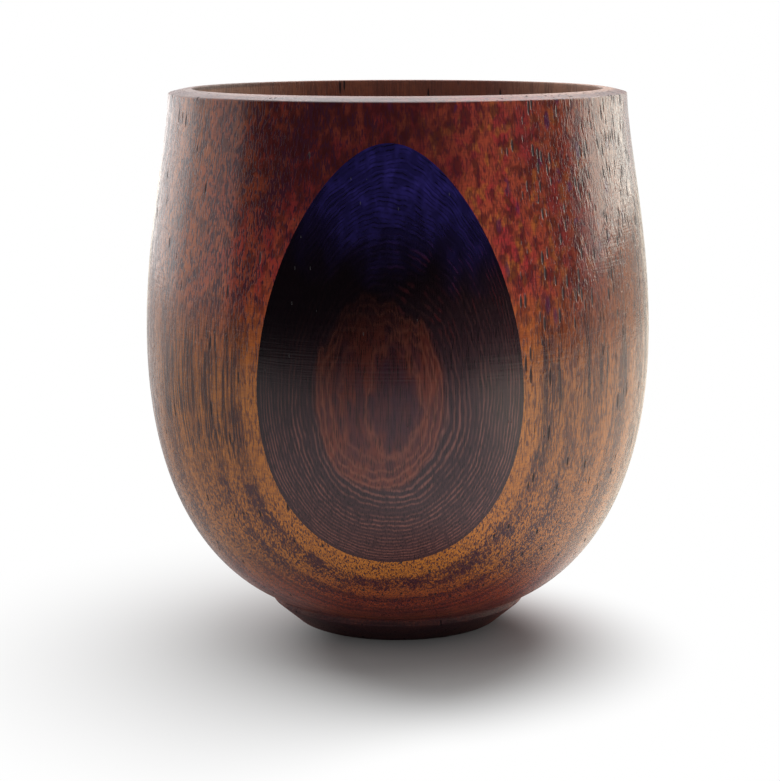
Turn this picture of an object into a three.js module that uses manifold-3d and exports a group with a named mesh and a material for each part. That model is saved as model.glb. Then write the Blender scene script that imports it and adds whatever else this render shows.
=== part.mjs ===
// Turned wooden drinking cup whose front is a board of dark wood.
// The board is glued on the blank before turning, so the lathe leaves it as an egg-shaped face.
// Millimetres, +Z up, front towards -Y. The origin is on the turning axis, at the foot's underside.

import * as THREE from 'three';
import { mergeVertices } from 'three/addons/utils/BufferGeometryUtils.js';
import Module from 'manifold-3d';

// Outside of the cup
const cupHeight = 85.3; // table to the crest of the lip
const bellyDiameter = 80; // widest place
const bellyHeight = 46.1; // height of the widest place
const mouthDiameter = 71.9; // at the outer edge of the lip
const mouthLean = 1.5; // degrees that the wall leans inwards at the mouth
const undersideAngle = 21.9; // degrees that the underside rises where it leaves the foot
const undersideReach = 12.3; // how far the underside keeps that slope (curve handle)
const lowerBellyReach = 23.5; // how far the belly stays upright below its widest place
const upperBellyReach = 16.7; // and above it
const mouthReach = 8; // how far the mouth keeps its lean

// Foot
const footDiameter = 32.8; // ring that stands on the table
const footFlare = 4.1; // how far the foot widens upwards, each side
const footHeight = 3.5;
const creaseDepth = 0.5; // groove between the foot and the underside
const creaseHeight = 0.8;
const footRingWidth = 4.2; // flat ring left round the recess under the foot
const footRecessDepth = 1.2;

// Inside of the cup
const lipWall = 3.8;
const lipRise = 0.65; // how far the lip's land falls from its crest to the outer edge
const lipFall = 14; // degrees that the land slopes at that edge
const lipReach = 1.2; // how far the land keeps its slope at either end
const lipRound = 0.25; // rounding between the crest and the bowl
const bellyWall = 6.6;
const floorThickness = 10; // table to the inner floor
const floorReach = 24; // how far the inner floor stays level from the axis
const bowlReach = 27; // how far the inner wall stays upright below the belly

// Dark board on the front
const faceDepth = 4.92; // thickest place of the dark face, at the belly
const faceLean = 2.45; // degrees that the glue joint leans outwards at the top
const glueGap = 0.3;

// Fineness of the facets
const turnSegments = 72;
const curveSteps = 10;
const lipSteps = 4;
const smallestStep = 0.01;

// Radii and heights that follow from the sizes above
const bellyRadius = bellyDiameter / 2;
const mouthRadius = mouthDiameter / 2;
const mouthHeight = cupHeight - lipRise;
const footRadius = footDiameter / 2;
const recessRadius = footRadius - footRingWidth;
const underside = {
  radius: footRadius + footFlare - creaseDepth,
  height: footHeight + creaseHeight,
};
const crestRound = Math.min(lipRound, lipRise, lipWall / 2);

const point = (radius, height) => new THREE.Vector2(radius, height);

// The point at a distance from a place, along a slope given in degrees above the level.
function along(place, degrees, distance) {
  const angle = THREE.MathUtils.degToRad(degrees);
  return point(place.x + distance * Math.cos(angle), place.y + distance * Math.sin(angle));
}

const bezier = (...controls) => new THREE.CubicBezierCurve(...controls).getPoints(curveSteps);

// Wall from the belly up to the mouth, set in by the wall's thickness at each end.
function upperWall(bellyInset, mouthInset) {
  const belly = point(bellyRadius - bellyInset, bellyHeight);
  const mouth = point(mouthRadius - mouthInset, mouthHeight);
  return bezier(belly, along(belly, 90, upperBellyReach), along(mouth, mouthLean - 90, mouthReach), mouth);
}

// The lip: a land that rises from the outer edge to the crest, then a quarter round into the bowl.
function lipProfile() {
  const edge = point(mouthRadius, mouthHeight);
  const crest = point(mouthRadius - lipWall + crestRound, cupHeight);
  const rising = along(edge, 180 - lipFall, lipReach);
  const land = new THREE.CubicBezierCurve(edge, rising, along(crest, 0, lipReach), crest);
  const centreHeight = cupHeight - crestRound;
  const round = new THREE.EllipseCurve(crest.x, centreHeight, crestRound, crestRound, Math.PI / 2, Math.PI);
  return [...land.getPoints(lipSteps), ...round.getPoints(lipSteps)];
}

function footProfile() {
  return [
    point(0, footRecessDepth),
    point(recessRadius - footRecessDepth, footRecessDepth),
    point(recessRadius, 0),
    point(footRadius, 0),
    point(footRadius + footFlare, footHeight),
  ];
}

function undersideProfile() {
  const start = point(underside.radius, underside.height);
  const belly = point(bellyRadius, bellyHeight);
  const leaving = along(start, undersideAngle, undersideReach);
  return bezier(start, leaving, along(belly, -90, lowerBellyReach), belly);
}

function bowlProfile() {
  const belly = point(bellyRadius - bellyWall, bellyHeight);
  const floor = point(0, floorThickness);
  return bezier(belly, along(belly, -90, bowlReach), along(floor, 0, floorReach), floor);
}

// The turned outline: up the outside from the axis, over the lip and down to the inner floor.
function cupProfile() {
  const outline = [
    ...footProfile(),
    ...undersideProfile(),
    ...upperWall(0, 0),
    ...lipProfile(),
    ...upperWall(bellyWall, lipWall).reverse(),
    ...bowlProfile(),
  ];
  return outline.filter((place, i) => i === 0 || place.distanceTo(outline[i - 1]) > smallestStep);
}

// Solid modelling: closed geometry to solid and back
const wasm = await Module();
wasm.setup();

function toSolid(geometry) {
  const bare = geometry.clone();
  bare.deleteAttribute('normal');
  bare.deleteAttribute('uv');
  const merged = mergeVertices(bare);
  const vertProperties = new Float32Array(merged.attributes.position.array);
  const triVerts = new Uint32Array(merged.index.array);
  return new wasm.Manifold(new wasm.Mesh({ numProp: 3, vertProperties, triVerts }));
}

function toGeometry(solid) {
  const { vertProperties, triVerts } = solid.getMesh();
  const geometry = new THREE.BufferGeometry();
  geometry.setAttribute('position', new THREE.BufferAttribute(vertProperties, 3));
  geometry.setIndex(new THREE.BufferAttribute(triVerts, 1));
  geometry.computeVertexNormals();
  return geometry;
}

// The lathe turns about Y, so the turned cup is stood up on +Z.
function turnedCup() {
  return toSolid(new THREE.LatheGeometry(cupProfile(), turnSegments).rotateX(Math.PI / 2));
}

// Everything in front of the glue joint, moved forwards by a gap.
function frontOfJoint(gap) {
  const reach = bellyDiameter + cupHeight;
  const block = new THREE.BoxGeometry(2 * reach, reach, 2 * reach);
  block.translate(0, -reach / 2 - gap, 0);
  block.rotateX(THREE.MathUtils.degToRad(faceLean));
  block.translate(0, faceDepth - bellyRadius, bellyHeight);
  return toSolid(block);
}

function piece(name, solid, color, roughness) {
  const material = new THREE.MeshStandardMaterial({ color, roughness, metalness: 0 });
  const mesh = new THREE.Mesh(toGeometry(solid), material);
  mesh.name = name;
  return mesh;
}

const turned = turnedCup();
const cup = new THREE.Group();
cup.add(piece('cup_body', turned.subtract(frontOfJoint(0)), 0x7d3d1c, 0.35));
cup.add(piece('dark_face', turned.intersect(frontOfJoint(glueGap)), 0x1c1218, 0.3));

export default cup;
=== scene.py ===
import math
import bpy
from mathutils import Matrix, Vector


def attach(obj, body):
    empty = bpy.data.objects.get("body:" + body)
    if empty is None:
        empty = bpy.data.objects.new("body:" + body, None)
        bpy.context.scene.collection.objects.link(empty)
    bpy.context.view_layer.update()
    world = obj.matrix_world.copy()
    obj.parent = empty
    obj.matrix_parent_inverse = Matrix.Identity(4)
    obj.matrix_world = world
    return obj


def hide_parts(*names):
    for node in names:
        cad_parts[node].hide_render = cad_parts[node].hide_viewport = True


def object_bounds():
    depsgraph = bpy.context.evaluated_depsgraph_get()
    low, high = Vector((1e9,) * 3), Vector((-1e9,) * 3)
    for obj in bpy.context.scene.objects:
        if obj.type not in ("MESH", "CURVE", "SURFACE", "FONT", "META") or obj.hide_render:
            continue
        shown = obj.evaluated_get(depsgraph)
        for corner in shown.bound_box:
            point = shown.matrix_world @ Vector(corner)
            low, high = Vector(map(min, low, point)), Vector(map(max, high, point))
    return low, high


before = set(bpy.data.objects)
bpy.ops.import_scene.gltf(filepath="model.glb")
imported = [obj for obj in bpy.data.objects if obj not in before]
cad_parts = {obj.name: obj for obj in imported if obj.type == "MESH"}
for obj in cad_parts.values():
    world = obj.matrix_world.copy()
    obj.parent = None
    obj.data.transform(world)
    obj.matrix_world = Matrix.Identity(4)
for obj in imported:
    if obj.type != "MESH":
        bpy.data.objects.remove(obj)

from types import SimpleNamespace

import bpy
import numpy as np
from bpy.props import FloatProperty, FloatVectorProperty, PointerProperty
from mathutils import Matrix

# Turned cup of reddish wood whose front is a board of dark wood, cut to an egg by the turning.
# Metres, +Z up, front towards -Y. The origin is on the turning axis, at the foot's underside.

bl_info = {
    "name": "Turned Two-Wood Cup",
    "version": (1, 0, 0),
    "blender": (4, 5, 0),
    "location": "View3D > Sidebar > Cup",
    "description": "Builds a turned wooden cup with a dark face laminated into its front",
    "category": "Object",
}

# The CAD model's box, which also gives the two driving sizes
CAD_BOX = [list(corner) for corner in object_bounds()]
CAD_WIDTH = CAD_BOX[1][0] - CAD_BOX[0][0]
CAD_HEIGHT = CAD_BOX[1][2]

MM = 0.001
PHOTO_LONG_SIDE = 781  # pixels
SENSOR_WIDTH = 36.0  # millimetres on the long side of the picture

# Fineness of the surfaces: points of a curve before it is divided, then columns, then rows
DENSE_STEPS = 1500
TURN_STEPS = 240
FACE_STEPS = 96
SEAT_STEPS = 24
FLAG_STEPS = 40
EDGE_ROWS = 6
BELOW_EGG_ROWS = 18
EGG_ROWS = 120
ABOVE_EGG_ROWS = 12
LAND_ROWS = 14
LIP_ROUND_ROWS = 9
INNER_WALL_ROWS = 30
BOWL_ROWS = 40

# Stage, in metres
FLOOR_REACH = 1.5
FLAG_DISTANCE = 0.37
SHADOW_MIDDLE = (0.0, -0.019, 0.0)

# Finish
LACQUER_IOR = 1.52
DARK_WOOD_GLOSS = 0.17

# Plain colours of the stage, in linear light
BLACK = (0.0, 0.0, 0.0)
WHITE = (1.0, 1.0, 1.0)
WARM_WHITE = (1.0, 0.97, 0.84)


def length_property(name, description, default):
    """Length in metres."""
    return FloatProperty(name=name, description=description, default=default, unit="LENGTH")


def angle_property(name, description, degrees):
    """Angle, given in degrees and kept in radians."""
    return FloatProperty(name=name, description=description, default=math.radians(degrees), subtype="ANGLE")


def power_property(name, description, watts):
    """Power of a lamp."""
    return FloatProperty(name=name, description=description, default=watts, unit="POWER")


def colour_property(name, description, default):
    """Colour in linear light."""
    return FloatVectorProperty(
        name=name, description=description, default=default, subtype="COLOR", min=0.0, max=1.0)


class CupSizes(bpy.types.PropertyGroup):
    """Sizes of the turned cup, of its foot and bowl, and of the glue joint through it."""

    cup_height: length_property("Cup height", "Table to the crest of the lip", CAD_HEIGHT)
    belly_diameter: length_property("Belly diameter", "Widest place of the outside", CAD_WIDTH)
    belly_height: length_property("Belly height", "Height of the widest place", 46.1 * MM)
    mouth_diameter: length_property("Mouth diameter", "At the outer edge of the lip", 71.9 * MM)
    mouth_lean: angle_property("Mouth lean", "How far the wall leans inwards at the mouth", 1.5)
    underside_angle: angle_property(
        "Underside angle", "Rise of the underside where it leaves the foot", 21.9)
    underside_reach: length_property("Underside reach", "How far the underside keeps that slope", 12.3 * MM)
    lower_belly_reach: length_property(
        "Lower belly reach", "How far the belly stays upright below its widest place", 23.5 * MM)
    upper_belly_reach: length_property(
        "Upper belly reach", "How far the belly stays upright above its widest place", 16.7 * MM)
    mouth_reach: length_property("Mouth reach", "How far the mouth keeps its lean", 8 * MM)
    foot_diameter: length_property("Foot diameter", "Ring that stands on the table", 32.8 * MM)
    foot_flare: length_property("Foot flare", "How far the foot widens upwards on each side", 4.1 * MM)
    foot_height: length_property("Foot height", "Table to the crease above the foot", 3.5 * MM)
    crease_depth: length_property("Crease depth", "Groove between the foot and the underside", 0.5 * MM)
    crease_height: length_property("Crease height", "Height of that groove", 0.8 * MM)
    foot_ring_width: length_property(
        "Foot ring width", "Flat ring round the recess under the foot", 4.2 * MM)
    recess_depth: length_property("Recess depth", "Depth of the recess under the foot", 1.2 * MM)
    edge_round: length_property(
        "Edge round", "Length that sanding takes off each side of the foot's and the lip's edges", 0.3 * MM)
    lip_wall: length_property("Lip wall", "Thickness of the wall at the lip", 3.8 * MM)
    lip_rise: length_property(
        "Lip rise", "How far the lip's land falls from its crest to the outer edge", 0.65 * MM)
    lip_fall: angle_property("Lip fall", "Slope of the land at the outer edge", 14)
    lip_reach: length_property("Lip reach", "How far the land keeps its slope at either end", 1.2 * MM)
    lip_round: length_property("Lip round", "Rounding between the crest and the bowl", 0.25 * MM)
    belly_wall: length_property("Belly wall", "Thickness of the wall at the belly", 6.6 * MM)
    floor_thickness: length_property("Floor thickness", "Table to the inner floor", 10 * MM)
    floor_reach: length_property("Floor reach", "How far the inner floor stays level from the axis", 24 * MM)
    bowl_reach: length_property(
        "Bowl reach", "How far the inner wall stays upright below the belly", 27 * MM)
    face_depth: length_property("Face depth", "Thickest place of the dark face, at the belly", 4.92 * MM)
    joint_lean: angle_property("Joint lean", "How far the glue joint leans outwards at the top", 2.45)


class CupWoods(bpy.types.PropertyGroup):
    """Colours of the two woods, with the shade and light painted on them."""

    orange_wood: colour_property("Orange wood", "Clear wood low on the cup", (0.480, 0.160, 0.024))
    red_wood: colour_property("Red wood", "Clear wood towards the lip", (0.370, 0.032, 0.032))
    # Also paints the shade at the lip's left end
    brown_wood: colour_property("Brown wood", "Darker growth layers", (0.085, 0.023, 0.018))
    deep_red: colour_property("Deep red", "Dark layers low on the cup", (0.310, 0.028, 0.019))
    # Maroon of the mottling and arcs; also painted shade on the foot, and in part under the lip
    maroon_wood: colour_property(
        "Maroon wood", "Deep shade under the lip and on the foot", (0.038, 0.006, 0.008))
    inner_wood: colour_property("Inner wood", "Dull wood of the bowl's wall", (0.230, 0.078, 0.056))
    # Painted light: both sides of the bowl's wall lighter, as where light falls on them
    pale_inner: colour_property("Pale inner wood", "Both sides of the bowl's wall", (0.560, 0.310, 0.200))
    fleck: colour_property("Fleck", "Short flecks in the red wood", (0.040, 0.008, 0.018))
    plum: colour_property("Plum", "Few larger flecks towards the lip", (0.050, 0.012, 0.060))
    # The pore colour also paints the shade on the foot's front
    pore: colour_property("Pore", "Open pores and long streaks", (0.018, 0.006, 0.010))
    dark_wood: colour_property("Dark wood", "Ground of the dark face", (0.038, 0.016, 0.021))
    ring_line: colour_property("Ring line", "Fine rings of the dark face", (0.180, 0.066, 0.054))
    heart_wood: colour_property("Heart wood", "Reddish middle of the dark face", (0.130, 0.026, 0.016))
    heart_line: colour_property("Heart line", "Tan rings in the reddish middle", (0.210, 0.062, 0.038))
    heart_core: colour_property("Heart core", "Dark core of the reddish middle", (0.026, 0.009, 0.022))
    black_wood: colour_property("Black wood", "What the dark face deepens to upwards", (0.002, 0.001, 0.002))
    # Painted sheen: the violet at the top of the dark face, with its rings and blots, stands in for a blue
    # reflection
    violet_stain: colour_property(
        "Violet stain", "Cool cast of the ground at the top of the dark face", (0.010, 0.007, 0.054))
    violet_line: colour_property("Violet line", "Rings and blots in that cool cast", (0.030, 0.021, 0.175))


class CupStage(bpy.types.PropertyGroup):
    """Camera, floor and light."""

    camera_distance: length_property("Camera distance", "Level distance from the turning axis", 340 * MM)
    camera_height: length_property("Camera height", "Height above the table", 98.7 * MM)
    camera_azimuth: angle_property(
        "Camera azimuth", "Turn of the camera's place from the front towards +X", 1.83)
    camera_pitch: angle_property("Camera pitch", "How far the camera looks down", 10.311)
    camera_yaw: angle_property("Camera yaw", "How far the camera looks to the left of the axis", 0.210)
    camera_roll: angle_property("Camera roll", "Turn of the picture about the line of sight", -0.12)
    focal_pixels: FloatProperty(
        name="Focal length", description="Focal length in pixels of the photograph", default=2143.0)
    floor_colour: colour_property("Floor colour", "Plain pale floor", (0.50, 0.50, 0.50))
    room_light: FloatProperty(
        name="Room light", description="Even light from all round on the floor and the cup", default=0.47)
    top_lamp: power_property("Top lamp", "Large soft lamp above and behind", 10.5)
    right_lamp: power_property("Right lamp", "Soft panel on the right that only glossy surfaces see", 2.3)
    left_lamp: power_property("Left lamp", "Weaker panel on the left, behind", 1.15)


# Shapes

def bezier(start, leaving, arriving, end, steps):
    """Cubic curve: each point mixes the four given places by the Bernstein weights of t from 0 to 1."""
    t = np.linspace(0.0, 1.0, steps)[:, None]
    s = 1.0 - t
    a, b, c, d = np.array([start, leaving, arriving, end], dtype=float)
    return s**3 * a + 3 * s * s * t * b + 3 * s * t * t * c + t**3 * d


def lip_rows(sizes):
    """Lip: a parabola round the outer edge, a cubic land up to the crest, a quarter circle into the bowl."""
    mouth = sizes.mouth_diameter / 2
    edge = np.array([mouth, sizes.cup_height - sizes.lip_rise])
    radius = min(sizes.lip_round, sizes.lip_rise, sizes.lip_wall / 2)
    crest = np.array([mouth - sizes.lip_wall + radius, sizes.cup_height])
    slope = np.array([-math.cos(sizes.lip_fall), math.sin(sizes.lip_fall)])
    curve = bezier(edge, edge + sizes.lip_reach * slope, crest + (sizes.lip_reach, 0.0), crest, DENSE_STEPS)
    land = along_curve(curve, np.linspace(sizes.edge_round, curve_lengths(curve)[-1], LAND_ROWS))
    below = edge + sizes.edge_round * np.array([math.sin(sizes.mouth_lean), -math.cos(sizes.mouth_lean)])
    corner = parabola(below, edge, land[0], np.linspace(0.0, 1.0, EDGE_ROWS)[:, None])
    angle = np.linspace(math.pi / 2, math.pi, LIP_ROUND_ROWS)
    quarter = crest - (0.0, radius) + radius * np.stack([np.cos(angle), np.sin(angle)], axis=1)
    return np.concatenate([corner[1:], land[1:], quarter[1:]])


def parabola(start, corner, end, t):
    """Curve from start to end that a corner pulls towards itself, at shares t of the way."""
    return (1 - t)**2 * start + 2 * t * (1 - t) * corner + t * t * end


def sanded(corners, cut, steps):
    """Line through corners, each inner one replaced by a parabola between the points one cut away."""
    corners = np.asarray(corners, dtype=float)
    before, corner, after = corners[:-2], corners[1:-1], corners[2:]
    back = before - corner
    ahead = after - corner
    start = corner + back * (cut / np.linalg.norm(back, axis=1, keepdims=True))
    end = corner + ahead * (cut / np.linalg.norm(ahead, axis=1, keepdims=True))
    t = np.linspace(0.0, 1.0, steps)[None, :, None]
    arcs = parabola(start[:, None], corner[:, None], end[:, None], t)
    return np.concatenate([corners[:1], arcs.reshape(-1, 2), corners[-1:]])


def upper_wall(sizes, belly_inset, mouth_inset, steps):
    """Wall from the belly up to the mouth, upright at the belly and leaning inwards at the mouth."""
    belly = np.array([sizes.belly_diameter / 2 - belly_inset, sizes.belly_height])
    mouth = np.array([sizes.mouth_diameter / 2 - mouth_inset, sizes.cup_height - sizes.lip_rise])
    lean = np.array([math.sin(sizes.mouth_lean), -math.cos(sizes.mouth_lean)])
    leaving = belly + (0.0, sizes.upper_belly_reach)
    return bezier(belly, leaving, mouth + sizes.mouth_reach * lean, mouth, steps)


def outer_wall(sizes):
    """Outline of the barrel, finely stepped: the underside up to the belly, then the upper wall."""
    foot_top = sizes.foot_diameter / 2 + sizes.foot_flare
    start = np.array([foot_top - sizes.crease_depth, sizes.foot_height + sizes.crease_height])
    slope = np.array([math.cos(sizes.underside_angle), math.sin(sizes.underside_angle)])
    belly = np.array([sizes.belly_diameter / 2, sizes.belly_height])
    arriving = belly - (0.0, sizes.lower_belly_reach)
    lower = bezier(start, start + sizes.underside_reach * slope, arriving, belly, DENSE_STEPS)
    return np.concatenate([lower, upper_wall(sizes, 0.0, 0.0, DENSE_STEPS)[1:]])


def joint_distance(sizes, height):
    """Distance of the glue joint in front of the axis, which grows with the height by the joint's lean."""
    at_belly = sizes.belly_diameter / 2 - sizes.face_depth
    return at_belly + (height - sizes.belly_height) * math.tan(sizes.joint_lean)


def curve_lengths(curve):
    """Length along a finely stepped curve at each of its points."""
    steps = np.linalg.norm(np.diff(curve, axis=0), axis=1)
    return np.concatenate([[0.0], np.cumsum(steps)])


def along_curve(curve, places):
    """Points of a finely stepped curve at given lengths along it."""
    lengths = curve_lengths(curve)
    return np.stack([np.interp(places, lengths, curve[:, k]) for k in (0, 1)], axis=1)


def wall_rows(sizes):
    """Rows of the barrel from the foot's crease to the mouth, and the slice of them that the egg spans.

    The egg's lowest and highest row lie where the joint's distance equals the barrel's radius. Rows between
    them are spaced by a cosine, because the egg's width grows as the square root of the way from either end.
    """
    curve = outer_wall(sizes)
    lengths = curve_lengths(curve)
    proud = curve[:, 0] - joint_distance(sizes, curve[:, 1])
    inside = np.flatnonzero(proud > 0.0)
    low, high = inside[0], inside[-1]
    bottom = np.interp(0.0, proud[low - 1:low + 1], lengths[low - 1:low + 1])
    top = np.interp(0.0, -proud[high:high + 2], lengths[high:high + 2])
    eased = 0.5 - 0.5 * np.cos(np.linspace(0.0, math.pi, EGG_ROWS))
    below = np.linspace(0.0, bottom, BELOW_EGG_ROWS)[:-1]
    above = np.linspace(top, lengths[-1] - sizes.edge_round, ABOVE_EGG_ROWS)[1:]
    places = np.concatenate([below, bottom + (top - bottom) * eased, above])
    return along_curve(curve, places), slice(len(below), len(below) + EGG_ROWS)


def egg_angle(sizes, rows):
    """Half angle of the egg at each row: its cosine is the joint's distance over the barrel's radius."""
    share = joint_distance(sizes, rows[:, 1]) / np.maximum(rows[:, 0], 1e-9)
    return np.arccos(np.clip(share, -1.0, 1.0))


def foot_rows(sizes):
    """Foot: recess, ring, flare and crease, with each edge sanded round."""
    ring = sizes.foot_diameter / 2
    recess = ring - sizes.foot_ring_width
    flare = ring + sizes.foot_flare
    crease = (flare - sizes.crease_depth, sizes.foot_height + sizes.crease_height)
    corners = [
        (0.0, sizes.recess_depth),
        (recess - sizes.recess_depth, sizes.recess_depth),
        (recess, 0.0),
        (ring, 0.0),
        (flare, sizes.foot_height),
        crease,
    ]
    return sanded(corners, sizes.edge_round, EDGE_ROWS)


def bowl_rows(sizes):
    """Bowl: the inner wall from the lip down to the belly, then a cubic to the middle of the floor."""
    belly = np.array([sizes.belly_diameter / 2 - sizes.belly_wall, sizes.belly_height])
    floor = np.array([0.0, sizes.floor_thickness])
    arriving = floor + (sizes.floor_reach, 0.0)
    bowl = bezier(belly, belly - (0.0, sizes.bowl_reach), arriving, floor, BOWL_ROWS)
    wall = upper_wall(sizes, sizes.belly_wall, sizes.lip_wall, INNER_WALL_ROWS)[::-1]
    return np.concatenate([wall, bowl[1:]])


def turned(radius, height, angle):
    """Points of a turned surface: radius and height per row, angle from the front towards +X."""
    return np.stack([
        radius * np.sin(angle),
        -radius * np.cos(angle),
        np.broadcast_to(height, angle.shape),
    ], axis=-1)


def joint_points(sizes, rows, half_angle, side):
    """Points of the joint's plane between the egg's two sides, at shares from -1 to 1 of its half width."""
    half = rows[:, :1] * np.sin(half_angle)[:, None]
    height = rows[:, 1:]
    parts = np.broadcast_arrays(half * side, -joint_distance(sizes, height), height)
    return np.stack(parts, axis=-1)


def grid_quads(index):
    """Quads of a grid of point numbers, seen from the side where rows go up and columns to the right."""
    corners = [index[:-1, :-1], index[:-1, 1:], index[1:, 1:], index[1:, :-1]]
    return np.stack(corners, axis=-1).reshape(-1, 4)


def make_piece(name, points, quads, sharp_pairs):
    """Mesh object from points and quads. A quad whose corners repeat, as at a pole, becomes a triangle."""
    used, renumbered = np.unique(quads, return_inverse=True)
    points = points[used]
    quads = renumbered.reshape(-1, 4)
    kept = quads != np.roll(quads, -1, axis=1)
    corner_counts = kept.sum(axis=1)
    whole = corner_counts >= 3
    corners = quads[whole][kept[whole]]
    starts = np.concatenate([[0], np.cumsum(corner_counts[whole])[:-1]])
    mesh = bpy.data.meshes.new(name)
    mesh.vertices.add(len(points))
    mesh.vertices.foreach_set("co", points.astype(np.float32).ravel())
    mesh.loops.add(len(corners))
    mesh.loops.foreach_set("vertex_index", corners.astype(np.int32))
    mesh.polygons.add(len(starts))
    mesh.polygons.foreach_set("loop_start", starts.astype(np.int32))
    mesh.polygons.foreach_set("use_smooth", np.ones(len(starts), dtype=bool))
    mesh.update(calc_edges=True)
    mark_sharp(mesh, np.searchsorted(used, sharp_pairs), len(points))
    if mesh.validate():
        raise RuntimeError(name + " has faces that Blender had to mend")
    piece = bpy.data.objects.new(name, mesh)
    bpy.context.scene.collection.objects.link(piece)
    return piece


def mark_sharp(mesh, pairs, count):
    """Marks the edges between the given pairs of points as sharp, each pair known by one number."""
    ends = np.empty(2 * len(mesh.edges), dtype=np.int32)
    mesh.edges.foreach_get("vertices", ends)
    ends = np.sort(ends.reshape(-1, 2), axis=1).astype(np.int64)
    wanted = np.sort(pairs, axis=1).astype(np.int64)
    sharp = np.isin(ends[:, 0] * count + ends[:, 1], wanted[:, 0] * count + wanted[:, 1])
    marks = mesh.attributes.new("sharp_edge", "BOOLEAN", "EDGE")
    marks.data.foreach_set("value", sharp)


def egg_rim(index):
    """Pairs of neighbouring points down both sides of the egg, which are the ends of the grid's rows."""
    sides = [np.stack([index[:-1, k], index[1:, k]], axis=1) for k in (0, -1)]
    return np.concatenate(sides)


def body_mesh(sizes):
    """Turned body: rows along the whole outline, columns round from one side of the egg to the other.

    Where the outline isn't in the egg, the first and the last column are the same points. The flat seat
    behind the dark face is a second grid between the egg's two sides.
    """
    foot = foot_rows(sizes)
    wall, egg = wall_rows(sizes)
    rows = np.concatenate([foot[:-1], wall, lip_rows(sizes), bowl_rows(sizes)])
    egg = slice(egg.start + len(foot) - 1, egg.stop + len(foot) - 1)
    start = np.zeros(len(rows))
    start[egg] = egg_angle(sizes, rows[egg])
    start[[egg.start, egg.stop - 1]] = 0.0
    across = np.linspace(0.0, 1.0, TURN_STEPS + 1)
    angle = start[:, None] + across * (2 * math.pi - 2 * start[:, None])
    points = turned(rows[:, :1], rows[:, 1:], angle).reshape(-1, 3)
    index = np.arange(len(points)).reshape(angle.shape)
    inside_egg = np.zeros(len(rows), dtype=bool)
    inside_egg[egg.start + 1:egg.stop - 1] = True
    index[~inside_egg, -1] = index[~inside_egg, 0]
    index[[0, -1], :] = index[[0, -1], :1]

    seat = joint_points(sizes, rows[egg], start[egg], np.linspace(-1.0, 1.0, SEAT_STEPS + 1))
    seat_index = len(points) + np.arange(seat.shape[0] * seat.shape[1]).reshape(seat.shape[:2])
    seat_index[:, 0] = index[egg, -1]
    seat_index[:, -1] = index[egg, 0]
    seat_index[[0, -1], :] = index[[egg.start, egg.stop - 1], :1]
    points = np.concatenate([points, seat.reshape(-1, 3)])
    quads = np.concatenate([grid_quads(index), grid_quads(seat_index)])
    return points, quads, egg_rim(seat_index)


def face_mesh(sizes):
    """Dark face: rows up the egg and columns across it, on the barrel in front and on the joint behind."""
    wall, egg = wall_rows(sizes)
    rows = wall[egg]
    half_angle = egg_angle(sizes, rows)
    half_angle[[0, -1]] = 0.0
    side = np.linspace(-1.0, 1.0, FACE_STEPS + 1)
    front = turned(rows[:, :1], rows[:, 1:], half_angle[:, None] * side)
    back = joint_points(sizes, rows, half_angle, side)
    index = np.arange(front.shape[0] * front.shape[1]).reshape(front.shape[:2])
    index[[0, -1], :] = index[[0, -1], :1]
    back_index = index + index.size
    back_index[:, [0, -1]] = index[:, [0, -1]]
    back_index[[0, -1], :] = index[[0, -1], :1]
    points = np.concatenate([front.reshape(-1, 3), back.reshape(-1, 3)])
    quads = np.concatenate([grid_quads(index), grid_quads(back_index[:, ::-1])])
    return points, quads, egg_rim(index)


# Shader nodes

def feed(tree, socket, value):
    """Links a socket to an output, or sets it to a plain value."""
    if isinstance(value, bpy.types.NodeSocket):
        tree.links.new(value, socket)
    else:
        socket.default_value = value


def place(tree, kind, inputs=None, **options):
    """Adds a node with its options, and feeds the inputs that are named."""
    node = tree.nodes.new(kind)
    for option, value in options.items():
        setattr(node, option, value)
    for name, value in (inputs or {}).items():
        feed(tree, node.inputs[name], value)
    return node


def calc(tree, operation, *values):
    """Result of a Math node."""
    node = place(tree, "ShaderNodeMath", operation=operation)
    for socket, value in zip(node.inputs, values):
        feed(tree, socket, value)
    return node.outputs["Value"]


def scaled(tree, value, factor, offset):
    """A value times a factor, plus an offset."""
    return calc(tree, "MULTIPLY_ADD", value, factor, offset)


def rest_of(tree, share):
    """What a share leaves of 1."""
    return calc(tree, "SUBTRACT", 1.0, share)


def product(tree, *values):
    """Values multiplied together."""
    result = values[0]
    for value in values[1:]:
        result = calc(tree, "MULTIPLY", result, value)
    return result


def step_up(tree, value, low, high):
    """Smooth step from 0 at low to 1 at high."""
    inputs = {"Value": value, "From Min": low, "From Max": high}
    return place(tree, "ShaderNodeMapRange", inputs, interpolation_type="SMOOTHSTEP").outputs["Result"]


def swing(tree, noise, amount):
    """A noise from 0 to 1 as a shift from minus half to plus half of an amount."""
    return scaled(tree, noise, amount, -0.5 * amount)


def waved(tree, value, noise, amount):
    """A value that swings with a noise."""
    return calc(tree, "ADD", value, swing(tree, noise, amount))


def line_noise(tree, value, scale, detail):
    """Noise along a single number, for layers of uneven thickness."""
    inputs = {"W": value, "Scale": scale, "Detail": detail}
    return place(tree, "ShaderNodeTexNoise", inputs, noise_dimensions="1D").outputs["Fac"]


def ramp(tree, value, stops):
    """Value read off a given curve of (place, height) stops."""
    node = place(tree, "ShaderNodeValToRGB", {"Fac": value})
    elements = node.color_ramp.elements
    while len(elements) < len(stops):
        elements.new(0.5)
    for element, (spot, height) in zip(elements, stops):
        element.position = spot
        element.color = (height, height, height, 1.0)
    return node.outputs["Color"]


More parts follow.
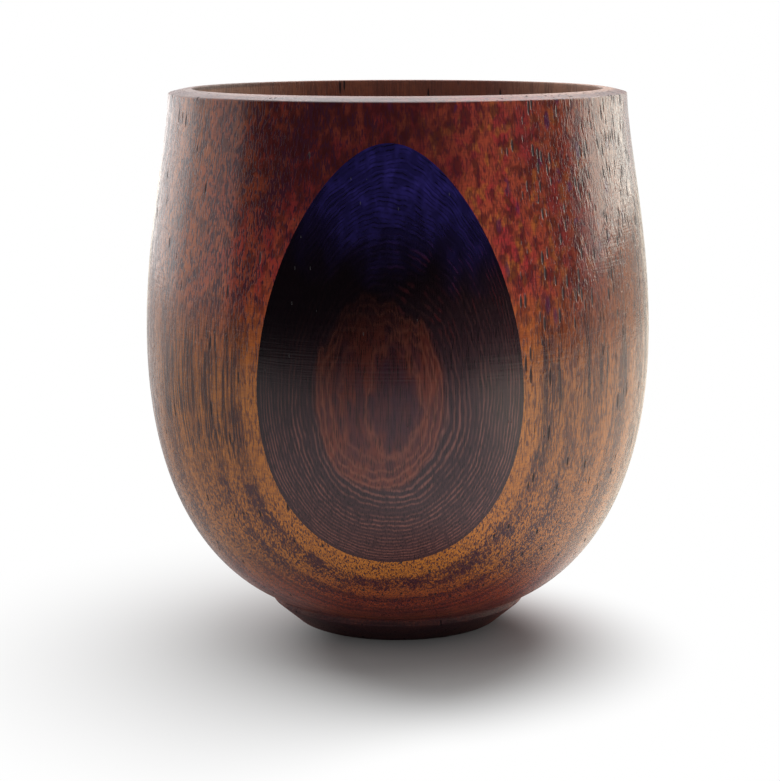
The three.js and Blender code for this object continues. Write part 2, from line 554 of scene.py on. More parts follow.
def blend(tree, share, first, second):
    """Mix of two outputs or plain colours, by a share from 0 to 1."""
    node = place(tree, "ShaderNodeMix", data_type="RGBA")
    feed(tree, node.inputs[0], share)
    for number, colour in ((6, first), (7, second)):
        plain = not isinstance(colour, bpy.types.NodeSocket)
        feed(tree, node.inputs[number], (*colour, 1.0) if plain else colour)
    return node.outputs[2]


def stained(tree, colour, stains):
    """A colour with stains laid over it in order: where each lies, how far it covers, and its own colour."""
    for mask, cover, stain in stains:
        colour = blend(tree, calc(tree, "MULTIPLY", mask, cover), colour, stain)
    return colour


def axes(tree, vector):
    """The three parts of a vector."""
    parts = place(tree, "ShaderNodeSeparateXYZ", {"Vector": vector}).outputs
    return parts["X"], parts["Y"], parts["Z"]


# Shared shader groups

def new_group(name, inputs, outputs):
    """Empty shader group with float or vector sockets, its input and its output node."""
    group = bpy.data.node_groups.new(name, "ShaderNodeTree")
    for socket in inputs:
        kind = "NodeSocketVector" if socket == "Vector" else "NodeSocketFloat"
        group.interface.new_socket(name=socket, in_out="INPUT", socket_type=kind)
    for socket in outputs:
        group.interface.new_socket(name=socket, in_out="OUTPUT", socket_type="NodeSocketFloat")
    return group, group.nodes.new("NodeGroupInput").outputs, group.nodes.new("NodeGroupOutput").inputs


def stretched(group, vector, across, along):
    """Coordinates divided by a grain's width across and by its length along the board."""
    inputs = {"X": across, "Y": across, "Z": along}
    sizes = place(group, "ShaderNodeCombineXYZ", inputs).outputs["Vector"]
    node = place(group, "ShaderNodeVectorMath", operation="DIVIDE")
    feed(group, node.inputs[0], vector)
    feed(group, node.inputs[1], sizes)
    return node.outputs["Vector"]


def fibre_group(name):
    """Noise drawn out along the grain."""
    group, given, result = new_group(name, ("Vector", "Width", "Length", "Detail"), ("Value",))
    vector = stretched(group, given["Vector"], given["Width"], given["Length"])
    noise = place(group, "ShaderNodeTexNoise", {"Vector": vector, "Scale": 1.0, "Detail": given["Detail"]})
    feed(group, result["Value"], noise.outputs["Fac"])


def pore_group(name):
    """Scattered long pores: cells drawn out along the grain, of which a share holds a pore."""
    group, given, result = new_group(name, ("Vector", "Width", "Length", "Size", "Share"), ("Mask",))
    vector = stretched(group, given["Vector"], given["Width"], given["Length"])
    cells = place(group, "ShaderNodeTexVoronoi", {"Vector": vector, "Scale": 1.0}).outputs
    full = calc(group, "MULTIPLY", given["Size"], 0.55)
    hole = step_up(group, cells["Distance"], given["Size"], full)
    chance = place(group, "ShaderNodeSeparateColor", {"Color": cells["Color"]}).outputs["Red"]
    chosen = calc(group, "LESS_THAN", chance, given["Share"])
    feed(group, result["Mask"], calc(group, "MULTIPLY", hole, chosen))


def lacquer_group(name):
    """Thin lacquer: it sinks into the pores, follows the fibres faintly and keeps level sanding lines.

    The height is in millimetres.
    """
    group, given, result = new_group(name, ("Vector", "Pores", "Fibre", "Gloss"), ("Roughness", "Height"))
    lines = stretched(group, given["Vector"], 12.0, 0.28)
    inputs = {"Vector": lines, "Scale": 1.0, "Detail": 2.0}
    sanding = place(group, "ShaderNodeTexNoise", inputs).outputs["Fac"]
    rough = waved(group, given["Gloss"], sanding, 0.12)
    feed(group, result["Roughness"], scaled(group, given["Pores"], 0.5, rough))
    relief = scaled(group, sanding, 0.012, calc(group, "MULTIPLY", given["Fibre"], 0.008))
    feed(group, result["Height"], scaled(group, given["Pores"], -0.11, relief))


GROUP_MAKERS = {"Wood fibre": fibre_group, "Wood pores": pore_group, "Lacquer film": lacquer_group}


def grouped(tree, name, inputs):
    """Outputs of a shared group with its own values. The group is made when it is first asked for."""
    if name not in bpy.data.node_groups:
        GROUP_MAKERS[name](name)
    return place(tree, "ShaderNodeGroup", inputs, node_tree=bpy.data.node_groups[name]).outputs


def fibre(tree, board, width, length, detail=1.0):
    """Fibre noise of a width and a length in millimetres."""
    inputs = {"Vector": board, "Width": width, "Length": length, "Detail": detail}
    return grouped(tree, "Wood fibre", inputs)["Value"]


def grain(tree, board, width, length, low, high, detail=1.0):
    """Fibre noise as a mask, with a smooth step from 0 at low to 1 at high."""
    return step_up(tree, fibre(tree, board, width, length, detail), low, high)


def pores(tree, board, width, length, size, share):
    """Mask of pores: their cells' width and length in millimetres, size in cells, and the filled share."""
    inputs = {"Vector": board, "Width": width, "Length": length, "Size": size, "Share": share}
    return grouped(tree, "Wood pores", inputs)["Mask"]


# Woods

def new_material(name):
    """Material with a Principled BSDF, and its tree and shader."""
    material = bpy.data.materials.new(name)
    material.use_nodes = True
    tree = material.node_tree
    return material, tree, tree.nodes["Principled BSDF"]


def board_space(tree, sizes):
    """Millimetres of the glued blank: across it, behind the joint, and up along the grain."""
    lean = sizes.joint_lean
    at_belly = joint_distance(sizes, sizes.belly_height)
    joint = (at_belly * math.cos(lean) - sizes.belly_height * math.sin(lean)) / MM
    mapping = place(tree, "ShaderNodeMapping", {
        "Vector": place(tree, "ShaderNodeTexCoord").outputs["Object"],
        "Location": (0.0, joint, 0.0),
        "Rotation": (-lean, 0.0, 0.0),
        "Scale": (1 / MM, 1 / MM, 1 / MM),
    })
    return mapping.outputs["Vector"]


def turning_space(tree):
    """Millimetres from the turning axis, and above the table."""
    x, y, z = axes(tree, place(tree, "ShaderNodeTexCoord").outputs["Object"])
    squares = scaled(tree, x, x, calc(tree, "MULTIPLY", y, y))
    return calc(tree, "DIVIDE", calc(tree, "SQRT", squares), MM), calc(tree, "DIVIDE", z, MM)


def finish_wood(tree, shader, board, colour, pore_mask, fibre_value, gloss):
    """Lacquered wood: colour, roughness and the relief of pores, fibres and sanding lines."""
    inputs = {"Vector": board, "Pores": pore_mask, "Fibre": fibre_value, "Gloss": gloss}
    film = grouped(tree, "Lacquer film", inputs)
    bump = place(tree, "ShaderNodeBump", {"Height": film["Height"], "Distance": MM})
    feed(tree, shader.inputs["Base Color"], colour)
    feed(tree, shader.inputs["Roughness"], film["Roughness"])
    feed(tree, shader.inputs["Normal"], bump.outputs["Normal"])
    shader.inputs["IOR"].default_value = LACQUER_IOR


def body_zones(tree, board):
    """Masks for places on the body, by millimetres in board space, or from the axis and the table."""
    across, behind, up = axes(tree, board)
    zone = SimpleNamespace(behind=behind, up=up)
    zone.high = step_up(tree, up, 42.0, 64.0)
    zone.lower = step_up(tree, up, 40.0, 26.0)
    zone.low = step_up(tree, up, 18.0, 9.0)
    zone.right = step_up(tree, across, -4.0, 8.0)
    zone.left = rest_of(tree, zone.right)
    zone.front = step_up(tree, behind, 26.0, 12.0)
    zone.high_front = product(tree, zone.high, zone.front)
    zone.upper_right = product(tree, zone.high_front, zone.right)
    zone.right_rim = product(tree, step_up(tree, across, 20.0, 30.0), step_up(tree, behind, 42.0, 24.0))
    zone.right_sheen = product(
        tree, zone.high, step_up(tree, across, 14.0, 26.0), step_up(tree, behind, 36.0, 22.0))

    belly = product(tree, step_up(tree, up, 22.0, 32.0), step_up(tree, up, 60.0, 50.0))
    zone.belly = belly
    zone.beside_belly = product(tree, belly, step_up(tree, behind, 6.0, 2.0))
    zone.left_belly = product(
        tree, belly, zone.front, zone.left, step_up(tree, behind, 0.8, 2.6), step_up(tree, up, 27.0, 36.0))
    zone.right_belly = product(
        tree, belly, zone.front, zone.right, step_up(tree, behind, 0.9, 2.4), step_up(tree, up, 34.0, 46.0))

    near_face = scaled(tree, zone.high, 2.6, -2.0)
    off_face = step_up(tree, behind, near_face, calc(tree, "ADD", near_face, 7.0))
    zone.upper_left = product(tree, zone.high_front, zone.left, off_face)
    right_side = product(tree, zone.right, scaled(tree, step_up(tree, up, 38.0, 60.0), 0.28, 0.16))
    zone.sides = product(tree, off_face, calc(tree, "ADD", right_side, 0.04))
    from_right = step_up(tree, across, 16.0, 2.0)
    zone.beside_top = product(tree, zone.high, from_right, step_up(tree, behind, 7.0, 2.0))
    # Under the lip the wood is darker, partly its own colour and partly painted shade
    zone.under_lip = product(
        tree, zone.front, from_right, step_up(tree, across, -32.0, -14.0), step_up(tree, up, 62.0, 78.0))

    radius, height = turning_space(tree)
    zone.foot = step_up(tree, up, 11.0, 4.0)
    # Painted shade on the foot and its crease, up to the underside
    zone.foot_ring = step_up(tree, height, 5.5, 4.0)
    # Painted shade on the foot's front, where the cup shades it
    zone.foot_front = product(tree, step_up(tree, up, 6.5, 3.5), step_up(tree, behind, 27.0, 18.0))
    zone.bowl = product(tree, step_up(tree, radius, 34.6, 33.4), step_up(tree, height, 30.0, 40.0))
    # Painted light on both sides of the bowl's wall
    zone.bowl_sides = product(tree, zone.bowl, step_up(tree, calc(tree, "ABSOLUTE", across), 12.0, 30.0))
    zone.lip = step_up(tree, height, 84.4, 84.8)
    # Painted shade at the lip's left end
    zone.lip_left = product(tree, zone.lip, step_up(tree, across, -16.0, -28.0))
    return zone


def layer_bands(tree, layer):
    """Share of dark growth at a depth behind the joint: listed near it, irregular further in."""
    near = ramp(tree, calc(tree, "DIVIDE", layer, 12.0), [
        (0.00, 0.0), (0.11, 0.05), (0.15, 0.95), (0.23, 0.90), (0.29, 0.35), (0.37, 0.20),
        (0.43, 0.80), (0.49, 0.75), (0.58, 0.35), (0.70, 0.75), (0.84, 0.45), (1.00, 0.5)])
    far = step_up(tree, line_noise(tree, layer, 0.30, 3.0), 0.35, 0.65)
    return blend(tree, step_up(tree, layer, 9.0, 12.0), near, far)


def growth_layers(tree, board, zone):
    """Depth behind the joint, waving first smoothly and then roughly, and the dark growth in such layers."""
    layers = SimpleNamespace()
    wide = waved(tree, zone.behind, fibre(tree, board, 16.0, 60.0), 1.2)
    layers.smooth = waved(tree, wide, fibre(tree, board, 3.0, 18.0), 0.8)
    layers.rough = waved(tree, layers.smooth, fibre(tree, board, 2.2, 3.0), 0.8)
    layers.patchy = grain(tree, board, 3.6, 5.0, 0.36, 0.60, 2.0)
    faded = product(tree, zone.high_front, scaled(tree, zone.right, 0.45, 0.40))
    bands = layer_bands(tree, layers.rough)
    layers.dark = product(tree, bands, rest_of(tree, faded), scaled(tree, layers.patchy, 0.5, 0.5))
    return layers


def long_marks(tree, board, zone, layers):
    """Long marks: threads, rays across them, streaks that are longest on the belly, and arcs below it."""
    mark = SimpleNamespace()
    mark.threads = fibre(tree, board, 0.20, 6.0)
    mark.rays = grain(tree, board, 1.8, 0.24, 0.48, 0.66)
    longest = scaled(tree, zone.belly, 0.6, 0.4)
    mark.streaks = product(tree, grain(tree, board, 0.22, 22.0, 0.50, 0.58), layers.dark, longest)
    mark.left_streaks = product(tree, grain(tree, board, 0.36, 17.0, 0.51, 0.57), zone.left_belly)
    bundles = grain(tree, board, 1.7, 40.0, 0.48, 0.58)
    mark.right_streaks = product(tree, grain(tree, board, 0.32, 13.0, 0.50, 0.57), zone.right_belly, bundles)
    thin_layers = step_up(tree, line_noise(tree, layers.smooth, 0.9, 1.0), 0.46, 0.60)
    mark.arcs = product(
        tree, thin_layers, step_up(tree, layers.smooth, 1.5, 2.5), zone.front,
        step_up(tree, zone.up, 20.0, 12.0))
    return mark


def short_marks(tree, board, zone, layers):
    """Flecks, blotches, mottling, open pores and the partly painted shade under the lip, each in its own
    place.
    """
    mark = SimpleNamespace()
    specks = blend(tree, zone.lower, fibre(tree, board, 0.27, 1.5), fibre(tree, board, 0.21, 1.3))
    mark.flecks = step_up(tree, scaled(tree, layers.dark, 0.14, specks), 0.54, 0.62)
    number = 1.0
    for where, change in (
            (zone.upper_right, -0.45), (zone.belly, -0.30), (zone.low, -0.35), (zone.left_belly, -0.35)):
        number = scaled(tree, where, change, number)
    mark.shown_flecks = product(tree, mark.flecks, number, scaled(tree, zone.bowl, -0.8, 1.0))

    grainy = scaled(tree, layers.dark, 0.16, fibre(tree, board, 0.5, 1.3))
    near_joint = product(tree, step_up(tree, layers.rough, 1.2, 2.0), step_up(tree, layers.rough, 8.0, 6.0))
    mark.blotches = product(
        tree, step_up(tree, grainy, 0.62, 0.68), step_up(tree, zone.up, 36.0, 28.0), near_joint)
    mark.mottle = product(tree, grain(tree, board, 1.3, 2.2, 0.48, 0.62, 2.0), zone.high_front)
    mark.glints = product(tree, grain(tree, board, 1.5, 2.7, 0.52, 0.66, 2.0), zone.upper_right)
    mark.plum = pores(tree, board, 1.5, 4.5, 0.42, product(tree, zone.upper_right, layers.patchy, 0.40))
    cloudy = grain(tree, board, 1.5, 2.8, 0.66, 0.40, 3.0)
    # Darker wood under the lip, partly painted shade, clouded by fibre noise
    mark.lip_shade = product(tree, zone.under_lip, scaled(tree, cloudy, 0.34, 0.66))

    mark.clusters = grain(tree, board, 2.5, 9.0, 0.35, 0.65)
    crowded = scaled(tree, zone.right_sheen, 1.5, 0.18)
    filled = product(tree, mark.clusters, crowded, rest_of(tree, mark.lip_shade))
    mark.pores = pores(tree, board, 0.72, 4.8, 0.34, filled)
    return mark


def body_colour(tree, board, woods, zone, layers, long, short):
    """Orange wood turning red upwards, with the colours of layers, marks, painted shade and painted light
    over it.
    """
    redder = scaled(tree, step_up(tree, zone.behind, 20.0, 5.0), 0.65, 0.35)
    patches = grain(tree, board, 3.0, 6.0, 0.42, 0.60, 2.0)
    redness = product(tree, zone.high, redder, scaled(tree, patches, 0.25, 0.75))
    clear = blend(tree, redness, woods.orange_wood, woods.red_wood)
    return stained(tree, clear, (
        (short.glints, 0.55, woods.orange_wood),
        (zone.upper_left, 0.30, woods.orange_wood),
        (zone.sides, 1.0, woods.brown_wood),
        (product(tree, zone.right_rim, scaled(tree, zone.high, 0.20, 0.15)), 1.0, woods.brown_wood),
        (zone.beside_belly, 0.14, woods.brown_wood),
        (product(tree, layers.dark, scaled(tree, zone.lower, -0.40, 1.0)), 0.45, woods.brown_wood),
        (short.mottle, 0.66, woods.maroon_wood),
        (zone.beside_top, 0.25, woods.maroon_wood),
        (zone.low, 0.72, woods.deep_red),
        (product(tree, layers.dark, zone.low), 0.60, woods.deep_red),
        (long.arcs, 0.50, woods.maroon_wood),
        (step_up(tree, long.threads, 0.42, 0.64), 0.45, woods.brown_wood),
        (long.rays, 0.25, woods.brown_wood),
        # Darker under the lip: partly the wood's colour, partly painted shade
        (short.lip_shade, 0.93, woods.maroon_wood),
        # Painted shade: the foot and its crease a little darker
        (zone.foot_ring, 0.20, woods.maroon_wood),
        # Painted shade: the foot's front darkened almost to the pore colour
        (zone.foot_front, 0.80, woods.pore),
        (zone.bowl, 0.65, woods.inner_wood),
        # Painted light: both sides of the bowl's wall made paler
        (zone.bowl_sides, 0.70, woods.pale_inner),
        # Painted shade: the lip's left end darkened
        (zone.lip_left, 0.8, woods.brown_wood),
        (long.streaks, 0.95, woods.pore),
        (long.left_streaks, 0.80, woods.pore),
        (long.right_streaks, 0.85, woods.pore),
        (short.blotches, 0.75, woods.fleck),
        (short.plum, 0.55, woods.plum),
        (short.shown_flecks, 0.90, woods.fleck),
        (short.pores, 0.95, woods.pore)))


def red_wood_material(sizes, woods):
    """Open-pored reddish wood: growth layers along the joint, long streaks in the dark ones, short flecks.

    It is duller on the foot, the lip and the bowl's wall, and embossed high on the right.
    """
    material, tree, shader = new_material("Lacquered red wood")
    board = board_space(tree, sizes)
    zone = body_zones(tree, board)
    layers = growth_layers(tree, board, zone)
    long = long_marks(tree, board, zone, layers)
    short = short_marks(tree, board, zone, layers)
    colour = body_colour(tree, board, woods, zone, layers, long, short)

    shallow = scaled(tree, zone.high_front, -0.17, 0.26)
    holes = calc(tree, "MAXIMUM", short.pores, product(tree, short.flecks, shallow))
    gloss = scaled(tree, zone.foot, 0.40, 0.18)
    gloss = scaled(tree, calc(tree, "MAXIMUM", zone.lip, zone.bowl), 0.24, gloss)
    gloss = scaled(tree, zone.right_sheen, -0.07, gloss)
    embossed = product(
        tree, grain(tree, board, 0.50, 1.8, 0.42, 0.60, 2.0), short.clusters, zone.right_rim,
        step_up(tree, zone.up, 38.0, 56.0))
    relief = calc(tree, "MULTIPLY", long.threads, scaled(tree, zone.right_rim, 1.6, 1.0))
    relief = scaled(tree, embossed, 5.0, relief)
    finish_wood(tree, shader, board, colour, holes, relief, gloss)
    return material


def face_rings(tree, board):
    """Figure of the dark face: its wavy depth in front of the joint, and broken rings at even depths."""
    ring = SimpleNamespace()
    ring.across, behind, ring.up = axes(tree, board)
    depth = calc(tree, "MULTIPLY", behind, -1.0)
    ring.sway = fibre(tree, board, 5.0, 9.0)
    ring.ripple = fibre(tree, board, 1.2, 2.4)
    ring.wavy = waved(tree, waved(tree, depth, ring.sway, 0.40), ring.ripple, 0.14)
    ring.broken = fibre(tree, board, 1.0, 3.0, 2.0)
    wave = calc(tree, "PINGPONG", calc(tree, "DIVIDE", ring.wavy, 0.21), 0.5)
    uneven = step_up(tree, line_noise(tree, ring.wavy, 1.8, 1.0), 0.2, 0.62)
    ring.lines = product(
        tree, step_up(tree, wave, 0.18, 0.46), uneven, step_up(tree, ring.broken, 0.26, 0.58),
        step_up(tree, depth, 0.15, 0.35))
    return ring


def ringed_ground(tree, woods, ring):
    """Ground of the dark face: rings that fade upwards, on a ground that lightens downwards."""
    fading = scaled(tree, step_up(tree, ring.up, 36.0, 52.0), -0.70, 1.0)
    return stained(tree, woods.dark_wood, (
        (ring.lines, fading, woods.ring_line),
        (step_up(tree, ring.up, 34.0, 20.0), 0.16, woods.ring_line)))


def reddish_heart(tree, board, woods, ring):
    """Heart of the dark face: where it lies, and its colour with jagged contours round a dark oval core."""
    dripping = product(
        tree, swing(tree, fibre(tree, board, 2.2, 16.0), 1.0), step_up(tree, ring.up, 45.0, 56.0))
    inner = calc(tree, "ADD", scaled(tree, ring.across, -0.035, ring.wavy), dripping)
    jagged = waved(tree, inner, fibre(tree, board, 1.6, 2.0), 0.12)
    contours = ramp(tree, calc(tree, "SUBTRACT", jagged, 3.82), [
        (0.00, 0.0), (0.12, 0.10), (0.17, 0.95), (0.23, 0.15), (0.30, 0.20), (0.35, 0.85), (0.41, 0.10),
        (0.49, 0.15), (0.53, 0.65), (0.59, 0.05), (0.70, 0.05), (0.75, 0.35), (0.81, 0.0), (1.00, 0.0)])
    sideways = calc(tree, "DIVIDE", calc(tree, "SUBTRACT", ring.across, 0.7), 3.7)
    upward = calc(tree, "DIVIDE", calc(tree, "SUBTRACT", ring.up, 44.5), 8.0)
    squares = scaled(tree, sideways, sideways, calc(tree, "MULTIPLY", upward, upward))
    from_core = waved(tree, waved(tree, calc(tree, "SQRT", squares), ring.ripple, 0.5), ring.sway, 1.4)
    core_line = ramp(tree, calc(tree, "DIVIDE", from_core, 2.0), [
        (0.00, 0.0), (0.45, 0.0), (0.52, 0.48), (0.60, 0.0), (1.00, 0.0)])
    colour = stained(tree, woods.heart_wood, (
        (grain(tree, board, 1.3, 4.0, 0.35, 0.65, 2.0), 0.6, woods.heart_core),
        (contours, 1.0, woods.heart_line),
        (grain(tree, board, 0.9, 14.0, 0.50, 0.72), 0.15, woods.heart_line),
        (core_line, 1.0, woods.heart_line),
        (step_up(tree, from_core, 1.05, 0.60), 0.60, woods.heart_core)))
    return step_up(tree, inner, 3.80, 4.05), colour


def violet_top(tree, woods, ring, blots):
    """Painted violet sheen at the top of the dark face: where it lies, and its colour with rings, blots and
    lines.
    """
    cast = scaled(tree, ring.lines, 0.30, calc(tree, "MULTIPLY", blots, 0.45))
    fine_wave = calc(tree, "PINGPONG", calc(tree, "DIVIDE", ring.wavy, 0.13), 0.5)
    fine_lines = product(tree, step_up(tree, fine_wave, 0.22, 0.44), step_up(tree, ring.broken, 0.30, 0.60))
    colour = stained(tree, woods.violet_stain, (
        (cast, 1.0, woods.violet_line),
        (fine_lines, 0.55, woods.black_wood)))
    rising = waved(tree, scaled(tree, ring.across, 0.12, ring.up), ring.sway, 10.0)
    from_left = scaled(tree, step_up(tree, ring.across, -15.0, -5.0), 0.75, 0.25)
    from_right = scaled(tree, step_up(tree, ring.across, 17.0, 9.0), 0.70, 0.30)
    return product(tree, step_up(tree, rising, 60.0, 76.0), from_left, from_right), colour


def dark_wood_material(sizes, woods):
    """Fine-ringed dark wood: a reddish heart where it is thickest, blackening upwards to a violet top."""
    material, tree, shader = new_material("Lacquered dark wood")
    board = board_space(tree, sizes)
    ring = face_rings(tree, board)
    threads = fibre(tree, board, 0.15, 4.0)
    blots = grain(tree, board, 1.6, 2.6, 0.40, 0.68, 2.0)
    slanted = scaled(tree, ring.across, -0.35, ring.up)
    reddish = product(
        tree, ring.lines, step_up(tree, blots, 0.2, 0.9), step_up(tree, ring.across, -3.0, 6.0),
        step_up(tree, ring.up, 48.0, 56.0), step_up(tree, ring.up, 70.0, 62.0))
    heart, heart_colour = reddish_heart(tree, board, woods, ring)
    top, top_colour = violet_top(tree, woods, ring, blots)
    colour = stained(tree, ringed_ground(tree, woods, ring), (
        (heart, 1.0, heart_colour),
        (step_up(tree, threads, 0.45, 0.70), 0.6, woods.black_wood),
        (step_up(tree, slanted, 38.0, 62.0), 0.95, woods.black_wood),
        (reddish, 0.8, woods.maroon_wood),
        (top, 1.0, top_colour)))
    specks = pores(tree, board, 0.45, 1.2, 0.22, 0.015)
    finish_wood(tree, shader, board, colour, specks, threads, DARK_WOOD_GLOSS)
    return material


# Pieces

def finish_piece(piece, material, node):
    """Gives a piece its material, hangs it under the root body and hides the CAD part that it replaces."""
    piece.data.materials.append(material)
    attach(piece, "root")
    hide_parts(node)


class CUP_OT_body(bpy.types.Operator):
    """Turns the red-wood body, with its foot, lip, bowl and the seat of the dark face"""

    bl_idname = "cup.body"
    bl_label = "Turned body"

    def execute(self, context):
        sizes = context.scene.cup_sizes
        piece = make_piece("turned_body", *body_mesh(sizes))
        finish_piece(piece, red_wood_material(sizes, context.scene.cup_woods), "cup_body")
        return {"FINISHED"}


class CUP_OT_dark_face(bpy.types.Operator):
    """Sets the egg-shaped dark face into the front of the body"""

    bl_idname = "cup.dark_face"
    bl_label = "Dark face"

    def execute(self, context):
        sizes = context.scene.cup_sizes
        piece = make_piece("egg_face", *face_mesh(sizes))
        finish_piece(piece, dark_wood_material(sizes, context.scene.cup_woods), "dark_face")
        return {"FINISHED"}


# Stage

def set_camera(scene, stage):
    """Camera in front of the cup, looking down at it."""
    camera = bpy.data.cameras.new("Camera")
    camera.sensor_width = SENSOR_WIDTH
    camera.lens = stage.focal_pixels / PHOTO_LONG_SIDE * SENSOR_WIDTH
    camera.clip_start = 10 * MM
    holder = bpy.data.objects.new("Camera", camera)
    scene.collection.objects.link(holder)
    turn = Matrix.Rotation(stage.camera_azimuth, 4, "Z")
    spot = Matrix.Translation((0.0, -stage.camera_distance, stage.camera_height))
    aim = Matrix.Rotation(stage.camera_yaw, 4, "Z")
    tilt = Matrix.Rotation(math.pi / 2 - stage.camera_pitch, 4, "X")
    holder.matrix_world = turn @ spot @ aim @ tilt @ Matrix.Rotation(stage.camera_roll, 4, "Z")
    scene.camera = holder


def set_world(scene, stage):
    """White where it is seen, directly or in a reflection, and an even room light on matt surfaces."""
    world = bpy.data.worlds.new("Studio")
    world.use_nodes = True
    tree = world.node_tree
    path = place(tree, "ShaderNodeLightPath").outputs
    shown = calc(tree, "MAXIMUM", path["Is Camera Ray"], path["Is Glossy Ray"])
    shown = calc(tree, "MAXIMUM", shown, path["Is Transmission Ray"])
    colour = blend(tree, shown, [stage.room_light] * 3, WHITE)
    feed(tree, tree.nodes["Background"].inputs["Color"], colour)
    scene.world = world


def stage_sheet(scene, name, points, quads, material):
    """Mesh that belongs to the stage and not to the cup."""
    mesh = bpy.data.meshes.new(name)
    mesh.from_pydata(points, [], quads)
    mesh.materials.append(material)
    sheet = bpy.data.objects.new(name, mesh)
    scene.collection.objects.link(sheet)
    return sheet


def mix_shaders(tree, share, first, second):
    """Shader between two, by a share from 0 to 1."""
    node = place(tree, "ShaderNodeMixShader")
    for socket, value in zip(node.inputs, (share, first, second)):
        feed(tree, socket, value)
    return node.outputs["Shader"]


def floor_glow(tree, path, x, y):
    """White glow of a lit table: plain to the camera, and graded in the light that it throws on the cup.

    That light grows to the right and behind on the left, and ends in front. It is weaker in reflections, and
    warmer in those on the right.
    """
    far_right = step_up(tree, scaled(tree, y, 0.5, x), -0.01, 0.07)
    behind_left = product(tree, step_up(tree, x, 0.02, -0.06), step_up(tree, y, 0.04, 0.16))
    level = scaled(tree, step_up(tree, x, -0.09, 0.02), 0.30, 0.62)
    level = scaled(tree, far_right, 0.85, level)
    level = scaled(tree, behind_left, 0.50, level)
    in_reflections = scaled(tree, path["Is Glossy Ray"], -0.70, 1.50)
    thrown = product(
        tree, level, step_up(tree, y, -0.40, -0.06), in_reflections, rest_of(tree, path["Is Camera Ray"]))
    strength = calc(tree, "ADD", path["Is Camera Ray"], thrown)
    tint = blend(tree, product(tree, far_right, path["Is Glossy Ray"]), WHITE, WARM_WHITE)
    return place(tree, "ShaderNodeEmission", {"Color": tint, "Strength": strength}).outputs["Emission"]


def floor_fade(tree, coordinates, x):
    """Share of the glow: 0 in the shadow round the cup, 1 further out, over a longer way on the left."""
    away = place(tree, "ShaderNodeVectorMath", operation="DISTANCE")
    feed(tree, away.inputs[0], coordinates)
    feed(tree, away.inputs[1], SHADOW_MIDDLE)
    left = step_up(tree, x, 0.01, -0.03)
    right = step_up(tree, x, 0.008, 0.026)
    start = scaled(tree, left, -0.029, scaled(tree, right, -0.002, 0.021))
    end = scaled(tree, left, 0.031, scaled(tree, right, -0.001, 0.049))
    return step_up(tree, away.outputs["Value"], start, end)


def set_floor(scene, stage):
    """Pale matt floor: it keeps the shadow round the cup, glows further out, and is clear from below."""
    material, tree, shader = new_material("Pale floor")
    path = place(tree, "ShaderNodeLightPath").outputs
    coordinates = place(tree, "ShaderNodeTexCoord").outputs["Object"]
    x, y, _ = axes(tree, coordinates)
    darker = calc(tree, "MULTIPLY", path["Is Glossy Ray"], 0.5)
    feed(tree, shader.inputs["Base Color"], blend(tree, darker, stage.floor_colour, BLACK))
    shader.inputs["Roughness"].default_value = 1.0
    shader.inputs["Specular IOR Level"].default_value = 0.0
    fade = floor_fade(tree, coordinates, x)
    above = mix_shaders(tree, fade, shader.outputs["BSDF"], floor_glow(tree, path, x, y))
    clear = place(tree, "ShaderNodeBsdfTransparent").outputs["BSDF"]
    from_below = place(tree, "ShaderNodeNewGeometry").outputs["Backfacing"]
    surface = mix_shaders(tree, from_below, above, clear)
    feed(tree, tree.nodes["Material Output"].inputs["Surface"], surface)
    reach = FLOOR_REACH
    corners = [(-reach, -reach, 0), (reach, -reach, 0), (reach, reach, 0), (-reach, reach, 0)]
    stage_sheet(scene, "floor", corners, [(0, 1, 2, 3)], material)


def set_flag(scene, name, first, last, top, glow):
    """Upright curved flag between two azimuths that only glossy surfaces see: the dim side of the room."""
    angle = np.radians(np.linspace(first, last, FLAG_STEPS))
    height = np.array([[0.0], [top]])
    points = turned(FLAG_DISTANCE, height, np.broadcast_to(angle, (2, FLAG_STEPS))).reshape(-1, 3)
    quads = grid_quads(np.arange(len(points)).reshape(2, FLAG_STEPS))
    material, _, shader = new_material(name)
    shader.inputs["Base Color"].default_value = (0.002, 0.002, 0.003, 1.0)
    shader.inputs["Emission Color"].default_value = (1.0, 0.9, 0.75, 1.0)
    shader.inputs["Emission Strength"].default_value = glow
    shader.inputs["Roughness"].default_value = 1.0
    shader.inputs["Specular IOR Level"].default_value = 0.0
    flag = stage_sheet(scene, name, points.tolist(), quads.tolist(), material)
    flag.visible_camera = False
    flag.visible_diffuse = False
    flag.visible_shadow = False
    flag.visible_transmission = False


def set_lamp(scene, name, power, width, height, azimuth, zenith, distance):
    """Soft rectangular lamp aimed at the cup, at angles from the front towards +X and from the zenith."""
    lamp = bpy.data.lights.new(name, "AREA")
    lamp.shape = "RECTANGLE"
    lamp.size = width
    lamp.size_y = height
    lamp.energy = power
    holder = bpy.data.objects.new(name, lamp)
    scene.collection.objects.link(holder)
    turn = Matrix.Rotation(math.radians(azimuth), 4, "Z")
    lean = Matrix.Rotation(math.radians(zenith), 4, "X")
    holder.matrix_world = turn @ lean @ Matrix.Translation((0.0, 0.0, distance))
    holder.visible_camera = False
    return holder


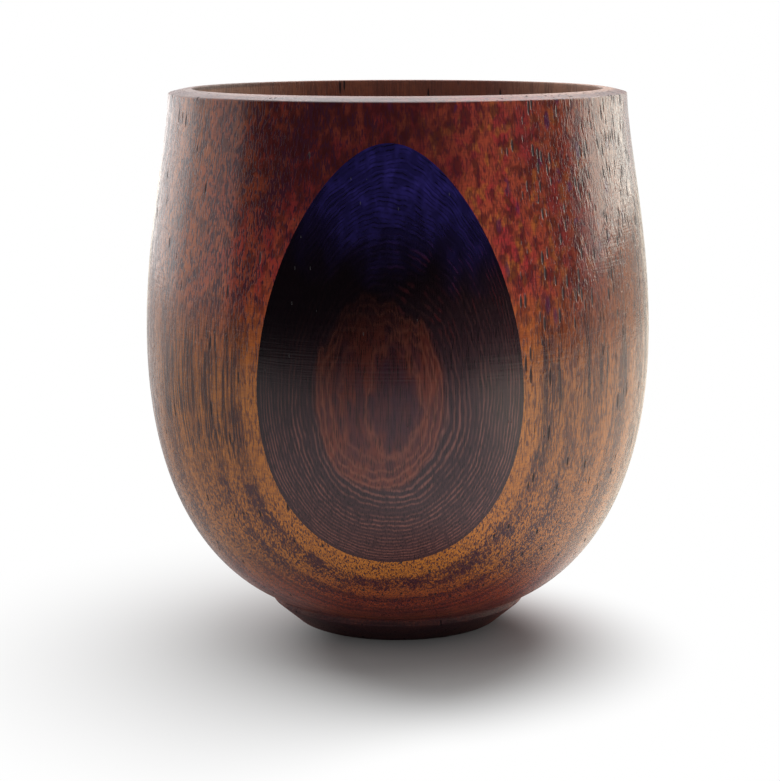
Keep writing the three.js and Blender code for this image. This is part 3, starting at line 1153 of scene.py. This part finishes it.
class CUP_OT_stage(bpy.types.Operator):
    """Sets the camera, the pale floor, the room light, the lamps and the flags"""

    bl_idname = "cup.stage"
    bl_label = "Stage"

    def execute(self, context):
        scene = context.scene
        stage = scene.cup_stage
        scene.view_settings.view_transform = "Standard"
        set_camera(scene, stage)
        set_world(scene, stage)
        set_floor(scene, stage)
        set_flag(scene, "front_flag", first=-74.5, last=89.5, top=0.5, glow=0.0)
        set_flag(scene, "low_flag", first=89.5, last=150.0, top=0.063, glow=0.8)
        set_lamp(
            scene, "top_lamp", stage.top_lamp,
            width=1.0, height=1.5, azimuth=165.0, zenith=24.0, distance=1.0)
        set_lamp(
            scene, "left_lamp", stage.left_lamp,
            width=0.7, height=0.5, azimuth=-142.0, zenith=70.0, distance=0.65)
        sheen = set_lamp(
            scene, "right_lamp", stage.right_lamp,
            width=0.55, height=0.5, azimuth=126.0, zenith=72.0, distance=0.65)
        sheen.visible_diffuse = False
        sheen.data.color = (1.0, 0.99, 0.84)
        return {"FINISHED"}


class CUP_PT_panel(bpy.types.Panel):
    """Sidebar panel with the cup's steps, sizes and colours"""

    bl_idname = "CUP_PT_panel"
    bl_label = "Two-Wood Cup"
    bl_space_type = "VIEW_3D"
    bl_region_type = "UI"
    bl_category = "Cup"

    def draw(self, context):
        for operator in OPERATORS:
            self.layout.operator(operator.bl_idname)
        for holder in (context.scene.cup_sizes, context.scene.cup_woods, context.scene.cup_stage):
            box = self.layout.box()
            for name in holder.__annotations__:
                box.prop(holder, name)


OPERATORS = (CUP_OT_stage, CUP_OT_body, CUP_OT_dark_face)
CLASSES = (CupSizes, CupWoods, CupStage, *OPERATORS, CUP_PT_panel)


def register():
    for cls in CLASSES:
        bpy.utils.register_class(cls)
    bpy.types.Scene.cup_sizes = PointerProperty(type=CupSizes)
    bpy.types.Scene.cup_woods = PointerProperty(type=CupWoods)
    bpy.types.Scene.cup_stage = PointerProperty(type=CupStage)


def unregister():
    del bpy.types.Scene.cup_stage
    del bpy.types.Scene.cup_woods
    del bpy.types.Scene.cup_sizes
    for cls in reversed(CLASSES):
        bpy.utils.unregister_class(cls)


def main():
    register()
    bpy.ops.cup.stage()
    bpy.ops.cup.body()
    bpy.ops.cup.dark_face()


if __name__ == "__main__":
    main()
